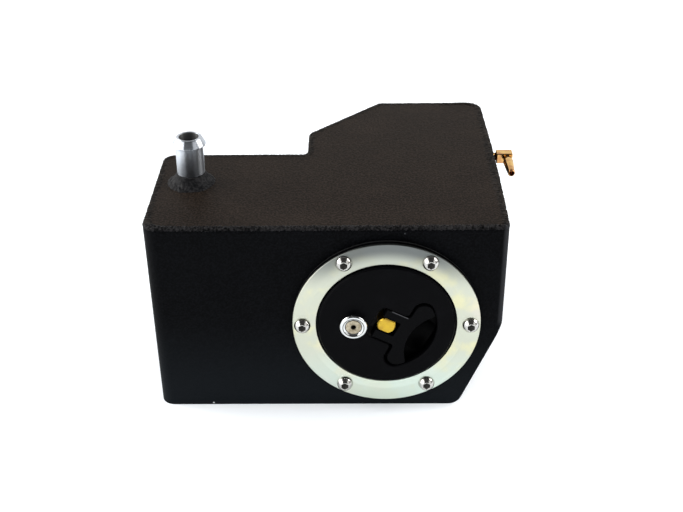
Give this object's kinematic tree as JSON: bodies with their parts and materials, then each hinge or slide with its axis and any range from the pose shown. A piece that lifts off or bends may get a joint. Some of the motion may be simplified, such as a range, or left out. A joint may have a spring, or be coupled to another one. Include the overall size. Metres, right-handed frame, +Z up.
{
  "type": "coolant expansion tank",
  "caption": "Welded sheet-metal expansion tank with a flush locking filler cap in a screwed ring, a hose spigot on top and a small vent elbow on one side.",
  "frame": {"origin": "centre of the plan rectangle on the underside of the base plate", "axes": "+Z up along the hose spigot, -Y out of the front panel along the filler axis, +X right, towards the vent elbow"},
  "size_m": [0.2147, 0.18, 0.149],
  "materials": {
    "tank_coat": "fine wrinkle black powder coat",
    "turned_aluminium": "turned, bright",
    "brass": "machined, bright",
    "rubber": "matt",
    "cap_moulding": "fine matt moulding",
    "plated_ring": "zinc plated, faint yellow passivation",
    "screw_steel": "polished stainless",
    "lock_chrome": "chrome plated",
    "key_face": "nickel plated, warm"
  },
  "bodies": {
    "tank": {"front_wrap": "tank_coat", "rear_wrap": "tank_coat", "top_plate": "tank_coat", "base_plate": "tank_coat", "top_weld_bead": "tank_coat", "hose_spigot": "turned_aluminium", "spigot_weld": "tank_coat", "vent_boss": "turned_aluminium", "vent_elbow": "brass", "filler_gasket": "rubber", "filler_neck": "cap_moulding", "backing_ring": "turned_aluminium", "clamp_ring": "plated_ring", "ring_screws": "screw_steel"},
    "cap": {"cap_plug": "cap_moulding", "cap_seal": "rubber", "stem_oring": "rubber", "cam_plate": "screw_steel", "lock_barrel": "lock_chrome", "lock_nut": "lock_chrome"},
    "stem": {"draw_stem": "brass", "handle_pin": "screw_steel", "pressure_plate": "turned_aluminium", "stem_washer": "screw_steel", "stem_nut": "screw_steel"},
    "handle": {"t_handle": "cap_moulding"},
    "key": {"key_plug": "key_face", "lock_tongue": "plated_ring", "tongue_screw": "screw_steel"}
  },
  "joints": [
    {"name": "cap_lift", "type": "slide", "parent": "tank", "child": "cap", "axis": [0, -1, 0], "range_m": [0, 0.06]},
    {"name": "stem_draw", "type": "slide", "parent": "cap", "child": "stem", "axis": [0, 1, 0], "range_m": [0, 0.0018]},
    {"name": "handle_flip", "type": "hinge", "parent": "stem", "child": "handle", "pos_m": [0.0336, -0.0862, 0.06], "axis": [-0.454, 0, -0.891], "range_deg": [0, 90]},
    {"name": "key_turn", "type": "hinge", "parent": "cap", "child": "key", "pos_m": [0.015, -0.0946, 0.0618], "axis": [0, 1, 0], "range_deg": [0, 90]}
  ],
  "couplings": [
    {"joint": "handle_flip", "follows": "stem_draw", "rad_per_m": 872.58}
  ]
}
